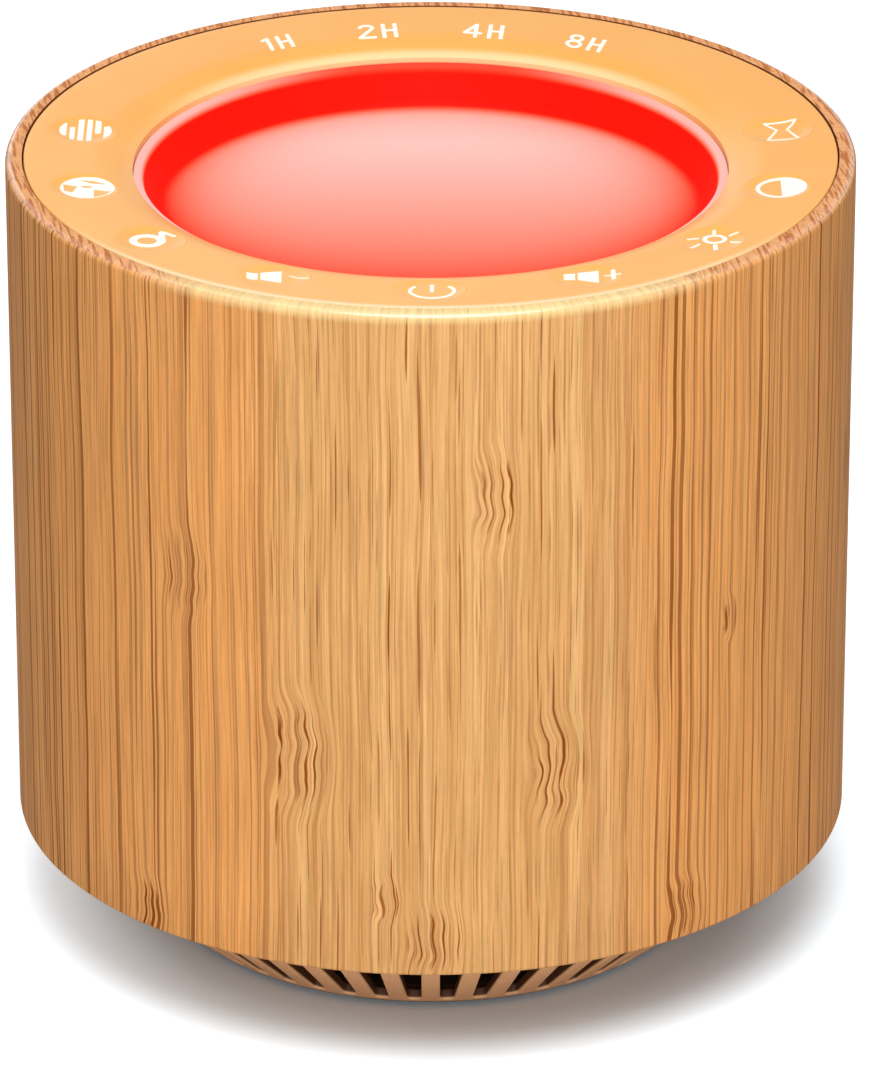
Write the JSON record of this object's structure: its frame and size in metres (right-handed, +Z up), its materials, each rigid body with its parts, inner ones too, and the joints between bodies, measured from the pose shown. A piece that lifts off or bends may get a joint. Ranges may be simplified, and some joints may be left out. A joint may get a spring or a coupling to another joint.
{
  "type": "white noise sound machine",
  "caption": "Round bedside sound machine: bamboo drum, dished lamp and ring of keys on top, downward speaker behind a tapering slotted grille, rubber foot.",
  "frame": {"origin": "on the vertical axis, at the underside of the foot ring", "axes": "+Z up along the axis, the power key at the front towards -Y, the power socket at the back towards +Y"},
  "size_m": [0.1, 0.1, 0.0968],
  "materials": {
    "bamboo": "carbonised bamboo, vertical grain, thin satin lacquer",
    "panel_plastic": "satin wood-coloured ABS",
    "lamp_plastic": "frosted translucent PMMA, lit red",
    "white_plastic": "matt white ABS",
    "board": "green solder-masked FR4",
    "white_board": "white solder-masked FR4",
    "led": "white LED package",
    "switch_black": "black nylon switch body",
    "light_pipe": "clear acrylic",
    "screw_steel": "zinc-plated steel",
    "frame_plastic": "light grey ABS",
    "chip_black": "black epoxy package",
    "capacitor_sleeve": "dark blue sleeve",
    "connector_ivory": "ivory nylon",
    "socket_steel": "nickel-plated steel",
    "bezel_plastic": "dark brown ABS",
    "baffle_plastic": "black ABS",
    "gasket_foam": "closed-cell foam",
    "basket_steel": "black-painted pressed steel",
    "plate_steel": "zinc-plated steel",
    "ferrite": "dark ferrite",
    "surround_rubber": "black butyl rubber",
    "spider_cloth": "resin-dipped yellow cloth",
    "cone_paper": "black pressed paper",
    "cap_paper": "black doped cloth",
    "coil_copper": "enamelled copper wire on a kapton former",
    "terminal_board": "tan phenolic strip with tinned tags",
    "wire_red": "PVC insulation",
    "ribbon_white": "flat flexible cable",
    "base_plastic": "satin wood-coloured ABS, a shade darker",
    "deflector_plastic": "dark brown ABS",
    "foot_rubber": "dark rubber"
  },
  "bodies": {
    "housing": {"wood_shell": "bamboo", "top_panel": "panel_plastic", "lamp_diffuser": "lamp_plastic", "light_reflector": "white_plastic", "lamp_board": "white_board", "lamp_leds": "led", "key_board": "board", "key_switches": "switch_black", "key_leds": "led", "timer_light_pipes": "light_pipe", "timer_leds": "led", "panel_screws": "screw_steel", "inner_frame": "frame_plastic", "main_board": "board", "sound_chip": "chip_black", "amplifier_chip": "chip_black", "capacitors": "capacitor_sleeve", "lead_connectors": "connector_ivory", "power_socket": "socket_steel", "socket_bezel": "bezel_plastic", "speaker_baffle": "baffle_plastic", "speaker_gasket": "gasket_foam", "speaker_basket": "basket_steel", "speaker_front_plate": "plate_steel", "speaker_magnet": "ferrite", "speaker_yoke": "plate_steel", "speaker_surround": "surround_rubber", "speaker_spider": "spider_cloth", "speaker_terminals": "terminal_board", "speaker_screws": "screw_steel", "speaker_leads": "wire_red", "lamp_lead": "wire_red", "key_ribbon": "ribbon_white", "base_grille": "base_plastic", "base_floor": "base_plastic", "sound_deflector": "deflector_plastic", "base_screws": "screw_steel", "floor_screws": "screw_steel", "foot_ring": "foot_rubber"},
    "cone_assembly": {"speaker_cone": "cone_paper", "dust_cap": "cap_paper", "voice_coil": "coil_copper"},
    "key_power_body": {"key_power": "panel_plastic"},
    "key_volume_down_body": {"key_volume_down": "panel_plastic"},
    "key_volume_up_body": {"key_volume_up": "panel_plastic"},
    "key_lullaby_body": {"key_lullaby": "panel_plastic"},
    "key_brightness_body": {"key_brightness": "panel_plastic"},
    "key_fan_sound_body": {"key_fan_sound": "panel_plastic"},
    "key_light_colour_body": {"key_light_colour": "panel_plastic"},
    "key_white_noise_body": {"key_white_noise": "panel_plastic"},
    "key_timer_body": {"key_timer": "panel_plastic"}
  },
  "joints": [
    {"name": "cone_travel", "type": "slide", "parent": "housing", "child": "cone_assembly", "axis": [0, 0, 1], "range_m": [-0.0008, 0.0008], "stiffness_N_per_m": 1200, "deforming": ["speaker_surround", "speaker_spider"]},
    {"name": "power_press", "type": "slide", "parent": "housing", "child": "key_power_body", "axis": [0, 0, -1], "range_m": [0, 0.0005], "stiffness_N_per_m": 600},
    {"name": "volume_down_press", "type": "slide", "parent": "housing", "child": "key_volume_down_body", "axis": [0, 0, -1], "range_m": [0, 0.0005], "stiffness_N_per_m": 600},
    {"name": "volume_up_press", "type": "slide", "parent": "housing", "child": "key_volume_up_body", "axis": [0, 0, -1], "range_m": [0, 0.0005], "stiffness_N_per_m": 600},
    {"name": "lullaby_press", "type": "slide", "parent": "housing", "child": "key_lullaby_body", "axis": [0, 0, -1], "range_m": [0, 0.0005], "stiffness_N_per_m": 600},
    {"name": "brightness_press", "type": "slide", "parent": "housing", "child": "key_brightness_body", "axis": [0, 0, -1], "range_m": [0, 0.0005], "stiffness_N_per_m": 600},
    {"name": "fan_sound_press", "type": "slide", "parent": "housing", "child": "key_fan_sound_body", "axis": [0, 0, -1], "range_m": [0, 0.0005], "stiffness_N_per_m": 600},
    {"name": "light_colour_press", "type": "slide", "parent": "housing", "child": "key_light_colour_body", "axis": [0, 0, -1], "range_m": [0, 0.0005], "stiffness_N_per_m": 600},
    {"name": "white_noise_press", "type": "slide", "parent": "housing", "child": "key_white_noise_body", "axis": [0, 0, -1], "range_m": [0, 0.0005], "stiffness_N_per_m": 600},
    {"name": "timer_press", "type": "slide", "parent": "housing", "child": "key_timer_body", "axis": [0, 0, -1], "range_m": [0, 0.0005], "stiffness_N_per_m": 600}
  ]
}
